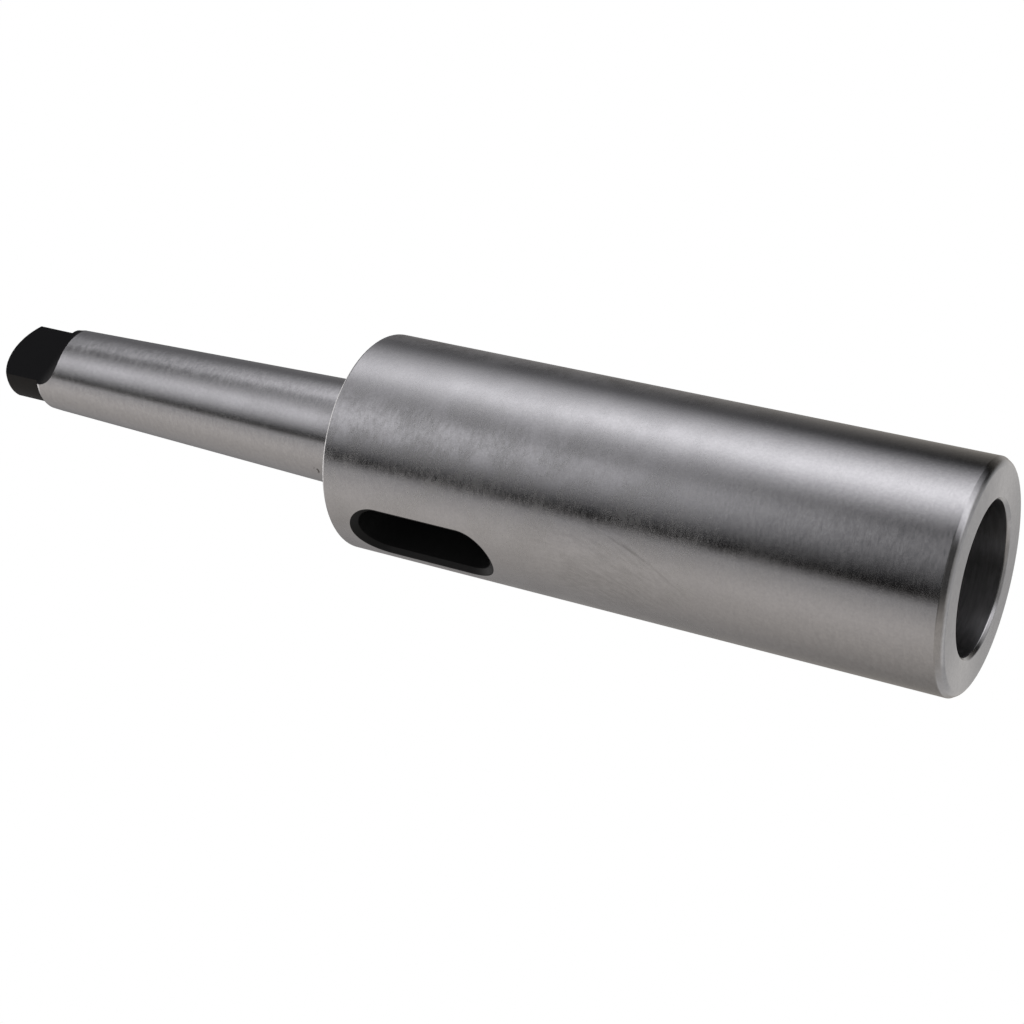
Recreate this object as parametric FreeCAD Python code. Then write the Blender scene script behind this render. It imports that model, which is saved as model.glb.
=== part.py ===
import FreeCAD, Part
import math
import os

# Morse taper extension sleeve: a number 3 taper shank with a tang at one end and a number 4
# taper socket in the other. One turned, milled and ground piece of hardened steel.
# It stands on the mouth of its socket: the origin is the centre of the mouth face and +Z runs
# along the axis to the tang. The drift slot passes through along Y, and the two flats of the
# tang face +X and -X, in line with the side walls of the slot. Millimetres.

# Body. Its length follows from the drift slot and the solid steel left beyond it.
body_diameter = 48.0
slot_to_shoulder = 6.6
mouth_chamfer_length = 1.5
mouth_chamfer_depth = 0.95
shoulder_edge_radius = 0.6

# Socket, a number 4 taper that closes towards the tang by its diameter over 19.254
socket_gauge_diameter = 31.267
socket_taper = 1 / 19.254
socket_mouth_chamfer = 0.6
socket_relief_diameter = 26.5
socket_past_slot_start = 8.6
drill_point_angle = 118.0

# Drift slot, with full-round ends, measured from the mouth to its near end
slot_start = 98.4
slot_length = 32.0
slot_width = 12.2
slot_edge_chamfer = 1.2

# Shank, a number 3 taper that closes towards the tang by its diameter over 19.922.
# The taper starts a little before its gauge plane, which has a set distance from the tip.
shank_gauge_diameter = 23.825
shank_taper = 1 / 19.922
taper_before_gauge = 5.0
gauge_to_tip = 94.5
taper_end_to_tip = 14.0
small_end_corner_length = 1.5

# Grinding neck between the shoulder and the large end of the shank
neck_length = 4.0
neck_depth = 0.7
neck_root_radius = 0.8

# Tang, turned round first and then milled flat on two sides with a cutter that runs out.
# Its end is part of a ball, with a small flat face round the centre hole.
tang_diameter = 17.6
tang_thickness = 7.9
tang_flat_length = 12.5
cutter_radius = 7.0
tip_crown_radius = 13.5
tip_face_diameter = 6.0

# Centre hole in the tip, which carried the piece between centres for grinding
centre_hole_diameter = 2.5
centre_hole_depth = 6.5
centre_cone_diameter = 5.3
centre_cone_angle = 60.0

# Heights and radii that follow from the sizes above
axis_up = FreeCAD.Vector(0, 0, 1)
socket_depth = slot_start + socket_past_slot_start
body_length = slot_start + slot_length + slot_to_shoulder
taper_start_height = body_length + neck_length
gauge_height = taper_start_height + taper_before_gauge
tip_height = gauge_height + gauge_to_tip
taper_end_height = tip_height - taper_end_to_tip
flat_start_height = tip_height - tang_flat_length
slot_middle_height = slot_start + slot_length / 2
cut_margin = 5.0


def shank_radius(height):
    return shank_gauge_diameter / 2 - (height - gauge_height) * shank_taper / 2


def at(radius, height):
    return FreeCAD.Vector(radius, 0, height)


def bulged_arc(start, end, bulge):
    """Arc from start to end in the profile plane, standing off its chord by bulge, outwards."""
    chord = end - start
    outwards = FreeCAD.Vector(chord.z, 0, -chord.x).normalize()
    middle = (start + end) / 2 + outwards * bulge
    return Part.Arc(start, middle, end).toShape()


def quarter_arc(start, end, corner):
    """Quarter of a circle from start to end, tangent to the lines that meet at corner."""
    centre = start + end - corner
    radius = (start - centre).Length
    middle = centre + (corner - centre).normalize() * radius
    return Part.Arc(start, middle, end).toShape()


def joined(points):
    return [Part.LineSegment(a, b).toShape() for a, b in zip(points, points[1:])]


def revolved(edges):
    """Solid turned about the axis from edges that run from the axis back to the axis."""
    face = Part.Face(Part.Wire(edges))
    return face.revolve(FreeCAD.Vector(0, 0, 0), axis_up, 360)


def turned_blank():
    """Body, neck, tapered shank and round tang, as they leave the lathe and the grinder."""
    body_radius = body_diameter / 2
    neck_radius = shank_radius(taper_start_height) - neck_depth
    tang_radius = tang_diameter / 2
    tip_face_radius = tip_face_diameter / 2

    mouth_edge = at(body_radius - mouth_chamfer_depth, 0)
    chamfer_top = at(body_radius, mouth_chamfer_length)
    shoulder_corner = at(body_radius, body_length)
    round_start = at(body_radius, body_length - shoulder_edge_radius)
    round_end = at(body_radius - shoulder_edge_radius, body_length)
    neck_corner = at(neck_radius, body_length)
    root_start = at(neck_radius + neck_root_radius, body_length)
    root_end = at(neck_radius, body_length + neck_root_radius)
    neck_end = at(neck_radius, taper_start_height - neck_depth)
    taper_start = at(shank_radius(taper_start_height), taper_start_height)
    taper_end = at(shank_radius(taper_end_height), taper_end_height)
    corner_end = at(tang_radius, taper_end_height + small_end_corner_length)
    crown_centre_height = tip_height - math.sqrt(tip_crown_radius ** 2 - tip_face_radius ** 2)
    crown_rise = math.sqrt(tip_crown_radius ** 2 - tang_radius ** 2)
    crown_start = at(tang_radius, crown_centre_height + crown_rise)
    tip_edge = at(tip_face_radius, tip_height)
    half_chord = (tip_edge - crown_start).Length / 2
    crown_bulge = tip_crown_radius - math.sqrt(tip_crown_radius ** 2 - half_chord ** 2)

    # The corner of the small end is broken by a round that stands off its chord by a quarter
    corner_bulge = (taper_end.x - corner_end.x) / 4
    edges = joined([at(0, 0), mouth_edge, chamfer_top, round_start])
    edges.append(quarter_arc(round_start, round_end, shoulder_corner))
    edges += joined([round_end, root_start])
    edges.append(quarter_arc(root_start, root_end, neck_corner))
    edges += joined([root_end, neck_end, taper_start, taper_end])
    edges.append(bulged_arc(taper_end, corner_end, corner_bulge))
    edges += joined([corner_end, crown_start])
    edges.append(bulged_arc(crown_start, tip_edge, crown_bulge))
    edges += joined([tip_edge, at(0, tip_height), at(0, 0)])
    return revolved(edges)


def socket():
    """Space of the socket: mouth chamfer, ground taper, relief bore and drill point."""
    gauge_radius = socket_gauge_diameter / 2
    relief_radius = socket_relief_diameter / 2
    taper_depth = (gauge_radius - relief_radius) * 2 / socket_taper
    chamfer_radius = gauge_radius - socket_mouth_chamfer * socket_taper / 2
    mouth_radius = gauge_radius + socket_mouth_chamfer
    point_length = relief_radius / math.tan(math.radians(drill_point_angle / 2))
    outline = [
        at(0, -cut_margin),
        at(mouth_radius, -cut_margin),
        at(mouth_radius, 0),
        at(chamfer_radius, socket_mouth_chamfer),
        at(relief_radius, taper_depth),
        at(relief_radius, socket_depth),
        at(0, socket_depth + point_length),
        at(0, -cut_margin),
    ]
    return revolved(joined(outline))


def drift_slot():
    """Bar with full-round ends that passes through the body along Y."""
    half_width = slot_width / 2
    half_straight = slot_length / 2 - half_width
    reach = body_diameter / 2 + cut_margin
    low = slot_middle_height - half_straight
    high = slot_middle_height + half_straight

    def corner(x, z):
        return FreeCAD.Vector(x, -reach, z)

    lower_end = Part.Arc(corner(half_width, low), corner(0, low - half_width), corner(-half_width, low))
    upper_end = Part.Arc(corner(-half_width, high), corner(0, high + half_width), corner(half_width, high))
    outline = Part.Wire([
        lower_end.toShape(),
        Part.LineSegment(corner(-half_width, low), corner(-half_width, high)).toShape(),
        upper_end.toShape(),
        Part.LineSegment(corner(half_width, high), corner(half_width, low)).toShape(),
    ])
    return Part.Face(outline).extrude(FreeCAD.Vector(0, 2 * reach, 0))


def with_chamfered_slot(blank):
    """Cuts the drift slot and breaks the edge where its walls meet the outside of the body."""
    cut = blank.cut(drift_slot())
    body_radius = body_diameter / 2
    rim = []
    for edge in cut.Edges:
        points = edge.discretize(9)
        on_outside = all(abs(math.hypot(p.x, p.y) - body_radius) < 0.001 for p in points)
        in_slot = all(abs(p.x) < slot_width / 2 + 0.001 for p in points)
        beside_slot = all(slot_start - 0.001 < p.z < slot_start + slot_length + 0.001 for p in points)
        if on_outside and in_slot and beside_slot:
            rim.append(edge)
    return cut.makeChamfer(slot_edge_chamfer, rim)


def tang_cutter(side):
    """Space that the cutter clears beside one flat; side is +1 for +X and -1 for -X."""
    face_x = tang_thickness / 2
    outer_x = shank_gauge_diameter
    top = tip_height + cut_margin
    half_depth = tang_diameter
    run_out = flat_start_height - cutter_radius
    centre = FreeCAD.Vector(face_x + cutter_radius, 0, flat_start_height)
    turn = math.radians(45)
    middle = centre - FreeCAD.Vector(math.cos(turn), 0, math.sin(turn)) * cutter_radius
    edges = joined([at(outer_x, run_out), at(outer_x, top), at(face_x, top), at(face_x, flat_start_height)])
    edges.append(Part.Arc(at(face_x, flat_start_height), middle, at(centre.x, run_out)).toShape())
    edges += joined([at(centre.x, run_out), at(outer_x, run_out)])
    space = Part.Face(Part.Wire(edges)).extrude(FreeCAD.Vector(0, 2 * half_depth, 0))
    space.translate(FreeCAD.Vector(0, -half_depth, 0))
    if side < 0:
        space.rotate(FreeCAD.Vector(0, 0, 0), axis_up, 180)
    return space


def centre_hole():
    """Centre-drilled hole in the tip: a sixty degree seat over a short pilot."""
    seat_radius = centre_cone_diameter / 2
    pilot_radius = centre_hole_diameter / 2
    slope = math.tan(math.radians(centre_cone_angle / 2))
    seat_depth = (seat_radius - pilot_radius) / slope
    bottom = tip_height - centre_hole_depth
    point_length = pilot_radius / math.tan(math.radians(drill_point_angle / 2))
    outline = [
        at(0, tip_height + cut_margin),
        at(seat_radius, tip_height + cut_margin),
        at(seat_radius, tip_height),
        at(pilot_radius, tip_height - seat_depth),
        at(pilot_radius, bottom + point_length),
        at(0, bottom),
        at(0, tip_height + cut_margin),
    ]
    return revolved(joined(outline))


def taper_sleeve():
    sleeve = with_chamfered_slot(turned_blank())
    sleeve = sleeve.cut(socket())
    for side in (1, -1):
        sleeve = sleeve.cut(tang_cutter(side))
    sleeve = sleeve.cut(centre_hole())
    return sleeve.Solids[0]


os.makedirs("parts", exist_ok=True)
shape = taper_sleeve()
box = shape.BoundBox
print("taper_sleeve", shape.ShapeType, "valid", shape.isValid(), "volume cm3", round(shape.Volume / 1000, 2))
print("box", [round(v, 2) for v in (box.XMin, box.YMin, box.ZMin, box.XMax, box.YMax, box.ZMax)])
shape.exportStep("parts/taper_sleeve.step")
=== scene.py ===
import math
from collections import namedtuple

import bmesh
import bpy
from mathutils import Matrix, Vector


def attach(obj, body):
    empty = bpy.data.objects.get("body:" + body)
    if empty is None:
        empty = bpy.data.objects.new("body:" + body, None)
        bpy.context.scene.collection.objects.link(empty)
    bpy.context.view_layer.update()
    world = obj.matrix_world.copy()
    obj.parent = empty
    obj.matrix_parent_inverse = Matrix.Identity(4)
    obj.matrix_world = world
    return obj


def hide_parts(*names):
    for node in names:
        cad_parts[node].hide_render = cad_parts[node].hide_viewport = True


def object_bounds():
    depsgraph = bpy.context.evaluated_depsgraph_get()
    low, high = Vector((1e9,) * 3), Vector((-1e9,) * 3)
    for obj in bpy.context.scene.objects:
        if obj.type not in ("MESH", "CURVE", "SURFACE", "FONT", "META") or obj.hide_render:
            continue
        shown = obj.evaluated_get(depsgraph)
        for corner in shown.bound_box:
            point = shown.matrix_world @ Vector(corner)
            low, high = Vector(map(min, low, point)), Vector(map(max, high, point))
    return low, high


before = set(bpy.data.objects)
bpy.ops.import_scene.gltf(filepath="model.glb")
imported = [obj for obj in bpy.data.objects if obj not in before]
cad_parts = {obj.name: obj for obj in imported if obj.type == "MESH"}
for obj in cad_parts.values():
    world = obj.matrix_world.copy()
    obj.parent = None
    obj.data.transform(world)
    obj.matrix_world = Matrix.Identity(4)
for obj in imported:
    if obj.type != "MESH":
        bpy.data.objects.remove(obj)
cad_low, cad_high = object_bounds()

# Turned blank: one bar of tool steel, bored and turned on a lathe, then ground between
# centres. It is the thick body with the socket, the shoulder, the tapered shank and the round
# end that becomes the tang. Its outline, in the plane of the axis, is turned a full circle.
MM = 0.001
body_radius = cad_high.x
tip_height = cad_high.z
socket_mouth_radius = 31.267 / 2 * MM
socket_taper = 1 / 19.254
relief_radius = 13.25 * MM
relief_end_height = 107 * MM
drill_point_angle = math.radians(118)
rim_chamfer = 0.6 * MM
mouth_chamfer_length = 1.5 * MM
mouth_chamfer_depth = 0.95 * MM
mouth_edge_round = 0.8 * MM
shoulder_height = 137 * MM
shoulder_round = 0.6 * MM
neck_length = 4 * MM
neck_depth = 0.7 * MM
neck_root_round = 0.8 * MM
shank_gauge_radius = 23.825 / 2 * MM
shank_gauge_height = 146 * MM
shank_taper = 1 / 19.922
small_end_height = 226.5 * MM
small_end_corner = 1.5 * MM
tang_radius = 8.8 * MM
tip_crown_radius = 13.5 * MM
tip_face_radius = 3 * MM
centre_seat_radius = 2.65 * MM
centre_seat_angle = math.radians(60)
centre_pilot_radius = 1.25 * MM
centre_hole_depth = 6.5 * MM
stoned_edge = 0.15 * MM
turned_merge_distance = 0.0001 * MM
lathe_steps = 240
arc_steps = 6


def shank_radius(height):
    return shank_gauge_radius - (height - shank_gauge_height) * shank_taper / 2


def sagitta(radius, half_chord):
    return radius - math.sqrt(radius ** 2 - half_chord ** 2)


def bulged(start, end, bulge):
    """Points between start and end on the arc that stands off its chord by bulge, outwards."""
    along = (end - start).normalized()
    outwards = Vector((along.z, 0, -along.x))
    half_chord = (end - start).length / 2
    radius = (half_chord ** 2 + bulge ** 2) / (2 * bulge)
    centre = (start + end) / 2 - outwards * (radius - bulge)
    half_turn = math.asin(half_chord / radius)
    turns = [half_turn * (2 * i / arc_steps - 1) for i in range(1, arc_steps)]
    return [centre + (along * math.sin(t) + outwards * math.cos(t)) * radius for t in turns]


def profile_corners():
    """Corners of the outline from the drill point to the centre hole, each with its round."""
    relief_start = (socket_mouth_radius - relief_radius) * 2 / socket_taper
    drill_tip = relief_end_height + relief_radius / math.tan(drill_point_angle / 2)
    neck_end = shoulder_height + neck_length
    neck_radius = shank_radius(neck_end) - neck_depth
    small_end = Vector((shank_radius(small_end_height), 0, small_end_height))
    tang_start = Vector((tang_radius, 0, small_end_height + small_end_corner))
    crown_top = tip_height + sagitta(tip_crown_radius, tip_face_radius)
    crown_start = Vector((tang_radius, 0, crown_top - sagitta(tip_crown_radius, tang_radius)))
    tip_edge = Vector((tip_face_radius, 0, tip_height))
    crown_bulge = sagitta(tip_crown_radius, (tip_edge - crown_start).length / 2)
    seat_depth = (centre_seat_radius - centre_pilot_radius) / math.tan(centre_seat_angle / 2)
    hole_end = tip_height - centre_hole_depth
    pilot_end = hole_end + centre_pilot_radius / math.tan(drill_point_angle / 2)
    corner_bulge = (small_end.x - tang_start.x) / 4
    corners = [
        (0, drill_tip, 0),
        (relief_radius, relief_end_height, 0),
        (relief_radius, relief_start, 0),
        (socket_mouth_radius - rim_chamfer * socket_taper / 2, rim_chamfer, stoned_edge),
        (socket_mouth_radius + rim_chamfer, 0, stoned_edge),
        (body_radius - mouth_chamfer_depth, 0, mouth_edge_round),
        (body_radius, mouth_chamfer_length, stoned_edge),
        (body_radius, shoulder_height, shoulder_round),
        (neck_radius, shoulder_height, neck_root_round),
        (neck_radius, neck_end - neck_depth, 0),
        (shank_radius(neck_end), neck_end, stoned_edge),
        (small_end.x, small_end.z, 0),
    ]
    corners += [(p.x, p.z, 0) for p in bulged(small_end, tang_start, corner_bulge)]
    corners += [(tang_start.x, tang_start.z, 0), (crown_start.x, crown_start.z, stoned_edge)]
    corners += [(p.x, p.z, 0) for p in bulged(crown_start, tip_edge, crown_bulge)]
    corners += [
        (tip_edge.x, tip_edge.z, 0),
        (centre_seat_radius, tip_height, 0),
        (centre_pilot_radius, tip_height - seat_depth, 0),
        (centre_pilot_radius, pilot_end, 0),
        (0, hole_end, 0),
    ]
    return corners


finish_names = ["ground", "faced", "bored", "black_turned", "black_milled", "slot_wall"]
turned_finishes = [finish_names.index(n) for n in ("ground", "faced", "bored", "black_turned")]
flush = stoned_edge / 10


def finish_at(radius, height):
    """The finish that the lathe and the grinder left on the blank at that radius and height."""
    if height > small_end_height + small_end_corner:
        return "black_turned"
    if radius < socket_mouth_radius and rim_chamfer < height < shoulder_height:
        return "bored"
    if height < mouth_chamfer_length or abs(height - shoulder_height) < flush:
        return "faced"
    return "ground"


def turned_blank():
    bm = bmesh.new()
    corners = profile_corners()
    points = [bm.verts.new((radius, 0, height)) for radius, height, _ in corners]
    for start, end in zip(points, points[1:]):
        bm.edges.new((start, end))
    for point, (_, _, rounding) in zip(points, corners):
        if rounding:
            bmesh.ops.bevel(bm, geom=[point], offset=rounding, offset_type="OFFSET",
                            segments=arc_steps, profile=0.5, affect="VERTICES", material=-1)
    bmesh.ops.spin(bm, geom=bm.verts[:] + bm.edges[:], cent=(0, 0, 0), axis=(0, 0, 1),
                   angle=math.tau, steps=lathe_steps, use_merge=True)
    bmesh.ops.remove_doubles(bm, verts=bm.verts[:], dist=turned_merge_distance)
    bmesh.ops.recalc_face_normals(bm, faces=bm.faces[:])
    for face in bm.faces:
        middle = face.calc_center_median()
        face.material_index = finish_names.index(finish_at(middle.xy.length, middle.z))
    return bm


def as_object(name, bm):
    mesh = bpy.data.meshes.new(name)
    bm.to_mesh(mesh)
    bm.free()
    made = bpy.data.objects.new(name, mesh)
    bpy.context.scene.collection.objects.link(made)
    return made


sleeve = as_object("sleeve", turned_blank())

# Drift slot: milled right through the body across its axis with an end mill, before the steel
# is hardened, so that a wedge can drive a tool out of the socket. Its ends are full round and
# its edge is chamfered all round where it breaks the outside of the body.
slot_middle_height = 114.4 * MM
slot_length = 32 * MM
slot_half_width = 6.1 * MM
slot_edge_chamfer = 1.2 * MM
slot_end_steps = 24
cutter_margin = 1 * MM
# Just under the whole half width, so that the two rounds of an end stay apart
slot_end_share = 0.999


def move_slot_ring(verts, side, spread, depth):
    """Moves a ring of the cutter out by spread, to that depth under the outside of the body."""
    half_straight = slot_length / 2 - slot_half_width
    for vert in verts:
        lift = max(-half_straight, min(half_straight, vert.co.z - slot_middle_height))
        spine = Vector((0, 0, slot_middle_height + lift))
        out = (Vector((vert.co.x, 0, vert.co.z)) - spine).normalized()
        place = spine + out * (slot_half_width + spread)
        vert.co = (place.x, side * (math.sqrt(body_radius ** 2 - place.x ** 2) - depth), place.z)


def drift_slot_cutter():
    """Bar with full-round ends, flared at both faces of the body to the slot's chamfer."""
    bm = bmesh.new()
    bmesh.ops.create_cube(bm, size=1)
    bmesh.ops.scale(bm, verts=bm.verts[:], vec=(2 * slot_half_width, body_radius, slot_length))
    bmesh.ops.translate(bm, verts=bm.verts[:], vec=(0, 0, slot_middle_height))
    corners = [e for e in bm.edges if abs(e.verts[0].co.y - e.verts[1].co.y) > body_radius / 2]
    bmesh.ops.bevel(bm, geom=corners, offset=slot_half_width * slot_end_share, offset_type="OFFSET",
                    segments=slot_end_steps, profile=0.5, affect="EDGES", material=-1)
    # How far each ring stands out from the slot's wall, and how deep it is under the body's
    # outside. The two in the middle stone the edge where the chamfer meets the body.
    flare = [
        (slot_edge_chamfer - stoned_edge, stoned_edge),
        (slot_edge_chamfer + stoned_edge * 0.2, stoned_edge * 0.2),
        (slot_edge_chamfer + stoned_edge * 2, -stoned_edge * 0.1),
        (slot_edge_chamfer + cutter_margin, -cutter_margin),
    ]
    for cap in [f for f in bm.faces if abs(f.normal.y) > 0.5]:
        side = math.copysign(1, cap.normal.y)
        move_slot_ring(cap.verts, side, 0, slot_edge_chamfer)
        for spread, depth in flare:
            grown = bmesh.ops.extrude_face_region(bm, geom=[cap])["geom"]
            bmesh.ops.delete(bm, geom=[cap], context="FACES_ONLY")
            cap = next(g for g in grown if isinstance(g, bmesh.types.BMFace))
            move_slot_ring(cap.verts, side, spread, depth)
    bmesh.ops.recalc_face_normals(bm, faces=bm.faces[:])
    for face in bm.faces:
        face.material_index = finish_names.index("slot_wall")
    return bm


# Tang: the round end is milled flat on two sides, so that a spindle's slot can turn it and a
# drift can push on it. The cutter's corner leaves a round run-out that cuts into the taper.
tang_half_thickness = 3.95 * MM
tang_flat_start_height = 228 * MM
tang_cutter_round = 7 * MM
tang_cutter_width = 30 * MM
tang_cutter_steps = 24


def tang_cutter():
    """Space that the cutter clears beside the flat that faces +X."""
    bm = bmesh.new()
    bottom = tang_flat_start_height - tang_cutter_round
    height = tip_height + cutter_margin - bottom
    depth = body_radius - tang_half_thickness
    bmesh.ops.create_cube(bm, size=1)
    bmesh.ops.scale(bm, verts=bm.verts[:], vec=(depth, tang_cutter_width, height))
    middle = (tang_half_thickness + depth / 2, 0, bottom + height / 2)
    bmesh.ops.translate(bm, verts=bm.verts[:], vec=middle)
    inner_edge = [
        e for e in bm.edges
        if all(v.co.x < tang_cutter_round and v.co.z < tip_height for v in e.verts)
    ]
    bmesh.ops.bevel(bm, geom=inner_edge, offset=tang_cutter_round, offset_type="OFFSET",
                    segments=tang_cutter_steps, profile=0.5, affect="EDGES", material=-1)
    for face in bm.faces:
        face.material_index = finish_names.index("black_milled")
    return bm


def both_tang_cutters():
    bm = tang_cutter()
    bmesh.ops.mirror(bm, geom=bm.verts[:] + bm.edges[:] + bm.faces[:], axis="X", merge_dist=-1)
    bmesh.ops.recalc_face_normals(bm, faces=bm.faces[:])
    return bm


# Milling: the slot and the two flats are cut out of the blank, which leaves one piece. Its
# shading follows the true round of every turned face, so that reflections run on evenly past
# the cuts, and stays crisp at every machined edge.
crisp_edge = math.radians(35)
milled_merge_distance = 0.001 * MM


def milled(blank, cutters):
    for cutter in cutters:
        cut = blank.modifiers.new(cutter.name, "BOOLEAN")
        cut.operation = "DIFFERENCE"
        cut.solver = "EXACT"
        cut.object = cutter
    evaluated = blank.evaluated_get(bpy.context.evaluated_depsgraph_get())
    blank_mesh = blank.data
    finished = bpy.data.meshes.new_from_object(evaluated)
    blank.modifiers.clear()
    blank.data = finished
    bpy.data.meshes.remove(blank_mesh)
    for cutter in cutters:
        bpy.data.objects.remove(cutter)


def facing(face):
    """A face's direction: on turned faces its slope in the plane of the axis, along X and Z."""
    if face.material_index not in turned_finishes:
        return face.normal.copy()
    out = face.calc_center_median().xy.normalized()
    radial = math.copysign(face.normal.xy.length, face.normal.xy.dot(out))
    return Vector((radial, 0, face.normal.z))


def shade_true(piece):
    bm = bmesh.new()
    bm.from_mesh(piece.data)
    bmesh.ops.remove_doubles(bm, verts=bm.verts[:], dist=milled_merge_distance)
    directions = {face: facing(face) for face in bm.faces}
    areas = {face: face.calc_area() for face in bm.faces}
    normals = []
    for face in bm.faces:
        face.smooth = True
        turned = face.material_index in turned_finishes
        for loop in face.loops:
            total = Vector()
            for other in loop.vert.link_faces:
                alike = (other.material_index in turned_finishes) == turned
                if alike and directions[other].angle(directions[face], math.pi) < crisp_edge:
                    total += directions[other] * areas[other]
            if turned:
                out = loop.vert.co.xy.normalized()
                total = Vector((out.x * total.x, out.y * total.x, total.z))
            normals.append(total.normalized())
    bm.to_mesh(piece.data)
    bm.free()
    piece.data.normals_split_custom_set(normals)


def material_named(name):
    return bpy.data.materials.get(name) or bpy.data.materials.new(name)


slot_cutter = as_object("slot_cutter", drift_slot_cutter())
flat_cutters = as_object("flat_cutters", both_tang_cutters())
for thing in (sleeve, slot_cutter, flat_cutters):
    for finish in finish_names:
        thing.data.materials.append(material_named(finish))
milled(sleeve, [slot_cutter, flat_cutters])
shade_true(sleeve)
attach(sleeve, "root")
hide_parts("taper_sleeve")


# Ground steel: the body and the shank are ground to size and polished with a fine belt. Its
# marks run round the axis in short streaks and spread reflections along it.
class Wire:
    """A socket of a node tree. Python's arithmetic on it adds Math nodes."""

    def __init__(self, tree, socket=None):
        self.tree = tree
        self.socket = socket

    def node(self, kind, settings=None, inputs=None, output=0):
        """Adds a node, sets it up, then fills or links its sockets, and returns one output."""
        made = self.tree.nodes.new(kind)
        for name, value in (settings or {}).items():
            setattr(made, name, value)
        for name, value in (inputs or {}).items():
            if isinstance(value, Wire):
                self.tree.links.new(value.socket, made.inputs[name])
            else:
                made.inputs[name].default_value = value
        return Wire(self.tree, made.outputs[output])

    def maths(self, operation, *values):
        return self.node("ShaderNodeMath", {"operation": operation}, dict(enumerate(values)))

    def vector(self, operation, *values, scale=None):
        inputs = dict(enumerate(values))
        if scale is not None:
            inputs["Scale"] = scale
        output = 1 if operation in ("DISTANCE", "LENGTH") else 0
        return self.node("ShaderNodeVectorMath", {"operation": operation}, inputs, output)

    def __add__(self, other):
        return self.maths("ADD", self, other)

    def __sub__(self, other):
        return self.maths("SUBTRACT", self, other)

    def __rsub__(self, other):
        return self.maths("SUBTRACT", other, self)

    def __mul__(self, other):
        return self.maths("MULTIPLY", self, other)

    def __truediv__(self, other):
        return self.maths("DIVIDE", self, other)

    __radd__ = __add__
    __rmul__ = __mul__

    def split(self):
        """The three numbers of a vector."""
        parts = self.node("ShaderNodeSeparateXYZ", inputs={"Vector": self}).socket.node
        return [Wire(self.tree, output) for output in parts.outputs]

    def joined(self, second, third):
        """A vector of three numbers."""
        return self.node("ShaderNodeCombineXYZ", inputs={"X": self, "Y": second, "Z": third})

    def noise(self, scale, detail=2, roughness=0.5):
        return self.node("ShaderNodeTexNoise", inputs={
            "Vector": self, "Scale": scale, "Detail": detail, "Roughness": roughness,
        })

    def stretched(self, scale):
        return self.node("ShaderNodeMapping", inputs={"Vector": self, "Scale": scale})

    def between(self, low, high):
        """0 below low and 1 above high, with a smooth step from one to the other."""
        return self.node("ShaderNodeMapRange", {"interpolation_type": "SMOOTHSTEP"},
                         {"Value": self, "From Min": low, "From Max": high})

    def near(self, middle, reach):
        """1 at middle, falling smoothly to 0 at reach to either side."""
        return 1 - self.maths("ABSOLUTE", self - middle).between(0, reach)

    def blend(self, first, second):
        """Colour that is first where this is 0 and second where it is 1."""
        return self.node("ShaderNodeMix", {"data_type": "RGBA"},
                         {"Factor": self, 6: first, 7: second}, output=2)


def new_material(name):
    """The empty node tree of a material, as the start of its Wire."""
    material = material_named(name)
    material.use_nodes = True
    material.node_tree.nodes.clear()
    return Wire(material.node_tree)


def end_in(tree, shader):
    ending = tree.tree.nodes.new("ShaderNodeOutputMaterial")
    tree.tree.links.new(shader.socket, ending.inputs["Surface"])


grain_per_metre = 1500
fine_grain_per_metre = 3200
streaks_per_metre_round = 500
streaks_per_metre_along = 2300
patches_per_metre = 130
clouds_per_metre = 520
cloud_squash = 2
cloud_detail = 5
cloud_softness = 0.6
soft_contrast = (0.3, 0.7)
steel_colour = (0.65, 0.645, 0.64, 1)
steel_shade = (0.55, 0.545, 0.545, 1)
steel_roughness = 0.155
steel_grain_depth = 0.012 * MM
quarter_turn = 0.25
specks_per_metre = 90
speck_radius = 0.1 * MM
speck_colour = (0.12, 0.11, 0.10, 1)
# Frosted patches scatter light. They are full on the body, and weaker at the mouth and the shank.
frost_contrast = (0.36, 0.64)
frost_roughness = 0.15
mouth_frost = 0.4
body_frost = 1
shank_frost = 0.35
frost_start = (15 * MM, 65 * MM)
frost_end = (137 * MM, 150 * MM)
# Wiping the body left fine arcs on one side, round a centre that lies further round the body.
# Each area has its middle, measured from that centre, and how far it reaches to either side.
wipe_centre_azimuth = math.radians(-153.5)
wipe_centre_height = 81.6 * MM
wipe_area_round = (32 * MM, 24 * MM)
wipe_area_along = (-12 * MM, 28 * MM)
wipe_lines_per_metre = 1100
wipe_lines_per_radian = 12
wipe_line_contrast = (0.35, 0.7)
wipe_strength = 0.45
wipe_shade = (0.42, 0.415, 0.41, 1)
scratch_ring = (43.1 * MM, 0.5 * MM)
scratch_area_along = (-19.6 * MM, 17 * MM)
scratch_contrast = (0.2, 0.6)
scuff_place = (0.53 * MM, -11.86 * MM, 147.5 * MM)
scuff_reach = 1.1 * MM
scuff_contrast = (0.5, 0.6)


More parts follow.
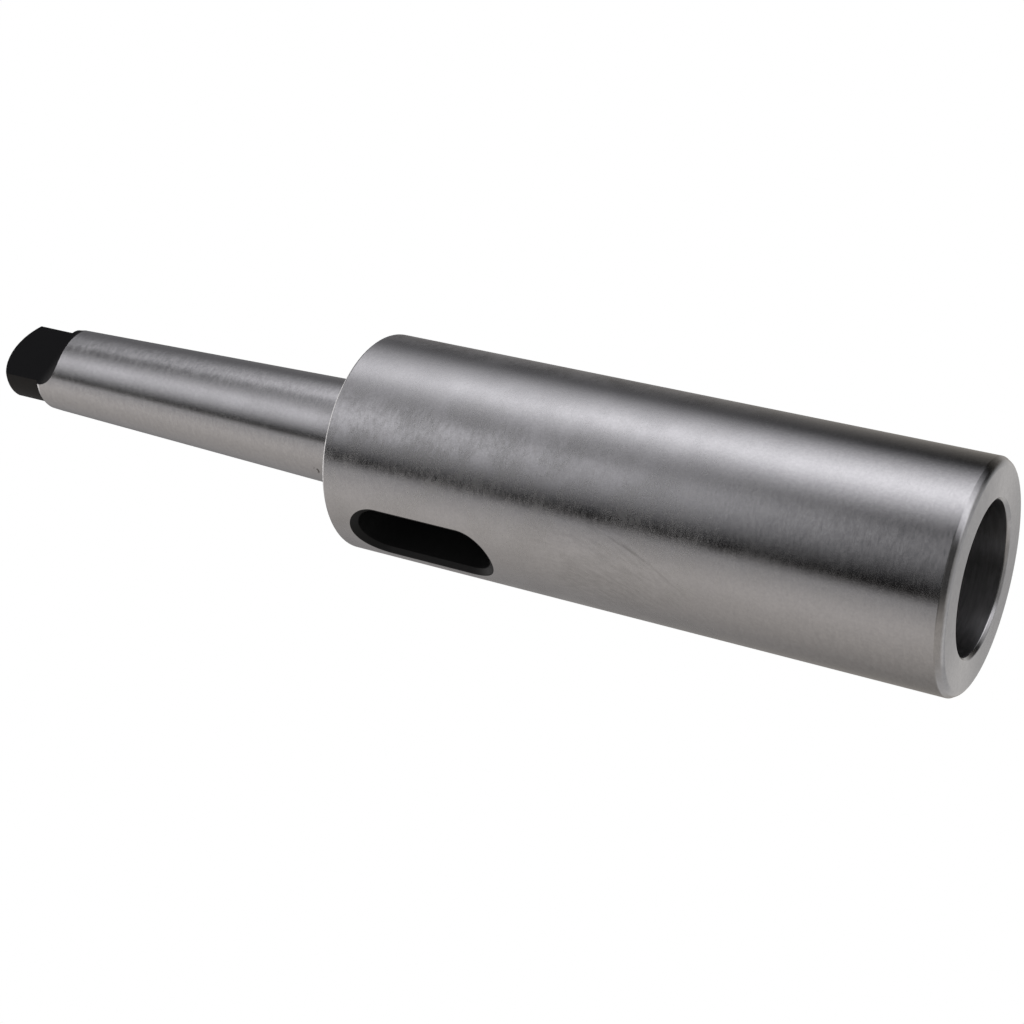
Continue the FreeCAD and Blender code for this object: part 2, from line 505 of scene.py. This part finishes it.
def ground_steel(tree, place):
    """Colour, specks, frost and relief of ground steel: clouds and frosted patches, fine grain
    and short streaks round the axis. The shares in each mix add up to 1."""
    streak_scale = (streaks_per_metre_round, streaks_per_metre_round, streaks_per_metre_along)
    streak = place.stretched(streak_scale).noise(1)
    grain = place.noise(grain_per_metre)
    fine = place.noise(fine_grain_per_metre, 1)
    patch = place.noise(patches_per_metre)
    squashed = place.stretched((1, 1, cloud_squash))
    cloud = squashed.noise(clouds_per_metre, cloud_detail, cloud_softness)
    frost = (patch * 0.35 + cloud * 0.35 + streak * 0.15 + fine * 0.15).between(*frost_contrast)
    height = place.split()[2]
    gain_past_mouth = height.between(*frost_start) * (body_frost - mouth_frost)
    loss_past_body = height.between(*frost_end) * (body_frost - shank_frost)
    frost = frost * (gain_past_mouth + mouth_frost - loss_past_body)
    clouded, grained, streaked = (noise.between(*soft_contrast) for noise in (cloud, grain, streak))
    colour = (clouded * 0.5 + grained * 0.35 + streaked * 0.15).blend(steel_shade, steel_colour)
    cells = tree.node("ShaderNodeTexVoronoi", inputs={"Vector": place, "Scale": specks_per_metre})
    speck = 1 - (cells / specks_per_metre).between(speck_radius / 2, speck_radius)
    relief = grain * 0.6 + streak * 0.2 + fine * 0.2
    return colour, speck, frost, relief


def wipe_marks(tree, place):
    """How much the wiped arcs darken the steel, from 0 to 1, on the side of the body they cross."""
    x, y, z = place.split()
    round_body = (tree.maths("ARCTAN2", y, x) - wipe_centre_azimuth) * body_radius
    along_body = z - wipe_centre_height
    distance = tree.maths("SQRT", round_body * round_body + along_body * along_body)
    bearing = tree.maths("ARCTAN2", along_body, round_body)
    rings = distance * wipe_lines_per_metre
    lines = rings.joined(bearing * wipe_lines_per_radian, 0).noise(1, 3)
    area = round_body.near(*wipe_area_round) * along_body.near(*wipe_area_along)
    scratch = distance.near(*scratch_ring) * along_body.near(*scratch_area_along)
    wiped = lines.between(*wipe_line_contrast) * wipe_strength
    return area * (wiped + scratch * lines.between(*scratch_contrast))


def end_in_metal(tree, colour, roughness, relief, grain_depth, spread=1):
    """Ends a finish in metal with marks round the axis, which spread reflections along it."""
    bump = tree.node("ShaderNodeBump", inputs={
        "Height": relief, "Strength": 1, "Distance": grain_depth,
    })
    metal = tree.node("ShaderNodeBsdfPrincipled", inputs={
        "Base Color": colour, "Metallic": 1, "Roughness": roughness,
        "Anisotropic": spread, "Anisotropic Rotation": quarter_turn, "Normal": bump,
    })
    end_in(tree, metal)


tree = new_material("ground")
place = tree.node("ShaderNodeTexCoord", output="Object")
colour, speck, frost, relief = ground_steel(tree, place)
colour = wipe_marks(tree, place).blend(colour, wipe_shade)
scuff = 1 - tree.vector("DISTANCE", place, scuff_place).between(scuff_reach / 2, scuff_reach)
scuffed = scuff * place.noise(grain_per_metre).between(*scuff_contrast)
colour = speck.blend(scuffed.blend(colour, speck_colour), speck_colour)
roughness = steel_roughness + frost * frost_roughness
end_in_metal(tree, colour, roughness, relief, steel_grain_depth)

# Faced and bored steel: the mouth face, its chamfers, the shoulder's face and the socket are
# turned and ground, and their marks are finer than those outside. The socket's colour is painted
# darker than the steel outside, as painted shade inside the bore.
faced_roughness = 0.2
faced_frost_roughness = 0.03
faced_grain_depth = 0.003 * MM
bore_marks_per_metre = (200, 200, 1500)
# Painted shade: both colours of the socket are darker than the outside steel, for the shade in the
# bore.
painted_shade_bore_colour = (0.5, 0.5, 0.505, 1)
painted_shade_bore_dark_tone = (0.4, 0.4, 0.405, 1)
bore_roughness = 0.28
bore_grain_depth = 0.001 * MM
bore_spread = 0.5

tree = new_material("faced")
place = tree.node("ShaderNodeTexCoord", output="Object")
colour, _, frost, relief = ground_steel(tree, place)
roughness = faced_roughness + frost * faced_frost_roughness
end_in_metal(tree, colour, roughness, relief, faced_grain_depth)

tree = new_material("bored")
place = tree.node("ShaderNodeTexCoord", output="Object")
grain = place.stretched(bore_marks_per_metre).noise(1)
colour = grain.between(*soft_contrast).blend(painted_shade_bore_dark_tone, painted_shade_bore_colour)
end_in_metal(tree, colour, bore_roughness, grain, bore_grain_depth, bore_spread)

# Black steel: the tang keeps the black skin of its hardening, and the slot its milled and
# blackened walls. Both are dull, with a fine grain that is a little lighter.
black_grain_per_metre = 900
black_grain_detail = 3
black_grain_lift = 1.6
black_roughness = 0.45
black_grain_roughness = 0.1


def dark_finish(finish, colour, shine):
    tree = new_material(finish)
    place = tree.node("ShaderNodeTexCoord", output="Object")
    grain = place.noise(black_grain_per_metre, black_grain_detail)
    lifted = tuple(channel * black_grain_lift for channel in colour)
    skin = tree.node("ShaderNodeBsdfPrincipled", inputs={
        "Base Color": grain.blend((*colour, 1), (*lifted, 1)),
        "Roughness": black_roughness + grain * black_grain_roughness,
        "Specular IOR Level": shine,
    })
    end_in(tree, skin)


dark_finish("black_turned", colour=(0.009, 0.008, 0.007), shine=0.15)
dark_finish("black_milled", colour=(0.003, 0.003, 0.0035), shine=0.1)
dark_finish("slot_wall", colour=(0.006, 0.006, 0.006), shine=0.2)

# Studio: round the sleeve stands a dark tent with soft boxes, cloths and cards of light on it.
# The tent shows only in what the steel mirrors. Nothing from here on is part of the object.
SoftBox = namedtuple("SoftBox", "colour level left right foot top", defaults=(None,) * 4)
tent_radius = 20
warm_light = (1.07, 1, 0.95)
cool_light = (1.01, 1, 1.055)
lamp_light = (1.07, 1, 0.92)
plain_light = (1.02, 1, 1)
low_light = (0.98, 1, 1.05)
# Edges are in degrees round the axis and above the floor, and each edge fades over its pair.
# Walls, window and cloths, mirrored in the round of the body and the shank:
slot_side_wall = SoftBox(warm_light, 0.35, left=(-230, -105), right=(-105, -55), foot=(-85, -45))
window = SoftBox(cool_light, 2.8, left=(-65, -15), right=(-15, 30), foot=(14, 40), top=(-5, 65))
front_cloth = SoftBox(cool_light, 1.35, left=(-5, 45), right=(25, 90), foot=(-75, -60), top=(28, 38))
far_wall = SoftBox(cool_light, 0.16, left=(25, 45), right=(185, 265), foot=(12, 28), top=(70, 105))
high_cloth = SoftBox(cool_light, 0.35, left=(-155, -30), right=(-75, -60), foot=(5, 10))
# Lamp and cards, mirrored in the mouth face and its chamfers:
rear_lamp = SoftBox(lamp_light, 1.2, left=(80, 150), right=(130, 205), foot=(-45, 55), top=(-20, 40))
mouth_card = SoftBox(low_light, 0.27, left=(110, 130), right=(185, 235), foot=(-75, -60), top=(-10, 10))
low_card = SoftBox(plain_light, 0.22, left=(45, 65), right=(185, 235), foot=(-75, -60), top=(-45, -35))
# Light from above, light from below, and a weak fill under the window:
ceiling = SoftBox(plain_light, 1.2, foot=(50, 70))
table = SoftBox(plain_light, 0.32, top=(-75, -60))
fill = SoftBox(plain_light, 0.12, left=(-75, -50), right=(-10, 20), foot=(-45, -30), top=(-20, 0))
soft_boxes = [
    slot_side_wall, window, front_cloth, far_wall, high_cloth, rear_lamp, mouth_card, low_card,
    ceiling, table, fill,
]
half_circle = 180
degrees_per_radian = math.degrees(1)
tent_segments = 96
tent_rings = 48


def lit_share(box, azimuth, elevation):
    """How far a soft box lights each direction, from 0 to 1."""
    share = 1
    if box.left:
        middle = (sum(box.left) + sum(box.right)) / 4
        turn = azimuth.maths("WRAP", azimuth - middle, half_circle, -half_circle)
        left, right = ([edge - middle for edge in pair] for pair in (box.left, box.right))
        share = turn.between(*left) * (1 - turn.between(*right))
    if box.foot:
        share = elevation.between(*box.foot) * share
    if box.top:
        share = (1 - elevation.between(*box.top)) * share
    return share


def tent_light():
    """Glow of the tent by azimuth round the sleeve's axis, and by height above the floor."""
    tree = new_material("tent")
    x, y, z = tree.node("ShaderNodeTexCoord", output="Object").split()
    azimuth = tree.maths("ARCTAN2", y, x) * degrees_per_radian
    elevation = tree.maths("ARCSINE", z / tent_radius) * degrees_per_radian
    glow = (0, 0, 0)
    for box in soft_boxes:
        colour = [channel * box.level for channel in box.colour]
        lit = tree.vector("SCALE", colour, scale=lit_share(box, azimuth, elevation))
        glow = tree.vector("ADD", glow, lit)
    cloth = tree.node("ShaderNodeEmission", inputs={"Color": glow})
    end_in(tree, cloth)
    material = material_named("tent")
    material.cycles.emission_sampling = "NONE"
    return material


bm = bmesh.new()
bmesh.ops.create_uvsphere(bm, u_segments=tent_segments, v_segments=tent_rings, radius=tent_radius)
bmesh.ops.reverse_faces(bm, faces=bm.faces[:])
tent = as_object("tent", bm)
tent.data.materials.append(tent_light())
tent.visible_camera = False
tent.visible_diffuse = False
tent.visible_shadow = False

# Floor: a pale sheet just under the mouth, on which the sleeve stands. It is seen only from
# above, and fades out into the room.
floor_radius = 0.7
floor_gap = 0.2 * MM
floor_fade = (0.2, 0.6)
floor_segments = 96
sheet_colour = (0.92, 0.92, 0.92, 1)
bm = bmesh.new()
bmesh.ops.create_circle(bm, cap_ends=True, segments=floor_segments, radius=floor_radius)
bmesh.ops.translate(bm, verts=bm.verts[:], vec=(0, 0, -floor_gap))
floor = as_object("floor", bm)
sheet = new_material("pale_sheet")
away = sheet.vector("LENGTH", sheet.node("ShaderNodeTexCoord", output="Object")).between(*floor_fade)
under = sheet.node("ShaderNodeNewGeometry", output="Backfacing")
end_in(sheet, sheet.node("ShaderNodeMixShader", inputs={
    0: sheet.maths("MAXIMUM", away, under),
    1: sheet.node("ShaderNodeBsdfDiffuse", inputs={"Color": sheet_colour}),
    2: sheet.node("ShaderNodeBsdfTransparent"),
}))
floor.data.materials.append(material_named("pale_sheet"))
floor.visible_glossy = False
floor.visible_diffuse = False
floor.visible_shadow = False

# Lamp and room: a wide soft lamp overhead gives the sleeve its soft shadow on the floor. The
# room is plain white where it is seen, and lights things with a little less than that.
lamp_height = 2
lamp_diameter = 1.2
lamp_watts = 10
room_level = 0.75
lamp_data = bpy.data.lights.new("lamp", "AREA")
lamp_data.shape = "DISK"
lamp_data.size = lamp_diameter
lamp_data.energy = lamp_watts
lamp = bpy.data.objects.new("lamp", lamp_data)
bpy.context.scene.collection.objects.link(lamp)
lamp.location = (0, 0, lamp_height)
lamp.visible_glossy = False

world = bpy.data.worlds.new("white_room")
bpy.context.scene.world = world
world.use_nodes = True
world.node_tree.nodes.clear()
sky = Wire(world.node_tree)
by_camera = sky.node("ShaderNodeLightPath", output="Is Camera Ray")
by_mirror = sky.node("ShaderNodeLightPath", output="Is Glossy Ray")
by_glass = sky.node("ShaderNodeLightPath", output="Is Transmission Ray")
shows = sky.maths("MAXIMUM", sky.maths("MAXIMUM", by_camera, by_mirror), by_glass)
room = sky.node("ShaderNodeBackground", inputs={
    "Color": (1, 1, 1, 1), "Strength": shows * (1 - room_level) + room_level,
})
ending = sky.tree.nodes.new("ShaderNodeOutputWorld")
sky.tree.links.new(room.socket, ending.inputs["Surface"])

# Camera: where the photograph was taken from, in front of the mouth and to one side, looking
# along the sleeve, with a long lens and rolled so that the sleeve lies across the picture.
camera_aim = Vector((-4.65, -7.15, 101.85)) * MM
camera_azimuth = math.radians(56.65)
camera_elevation = math.radians(-26.2)
camera_distance = 454.5 * MM
camera_roll = math.radians(-76.55)
camera_back = Vector((
    math.sin(camera_azimuth) * math.cos(camera_elevation),
    -math.cos(camera_azimuth) * math.cos(camera_elevation),
    math.sin(camera_elevation),
))
camera_data = bpy.data.cameras.new("camera")
camera_data.lens = 74.8
camera_data.sensor_width = 36
camera = bpy.data.objects.new("camera", camera_data)
bpy.context.scene.collection.objects.link(camera)
camera.location = camera_aim + camera_back * camera_distance
level_turn = (-camera_back).to_track_quat("-Z", "Y").to_matrix()
camera.rotation_euler = (level_turn @ Matrix.Rotation(camera_roll, 3, "Z")).to_euler()
bpy.context.scene.camera = camera

bpy.context.scene.view_settings.view_transform = "Standard"
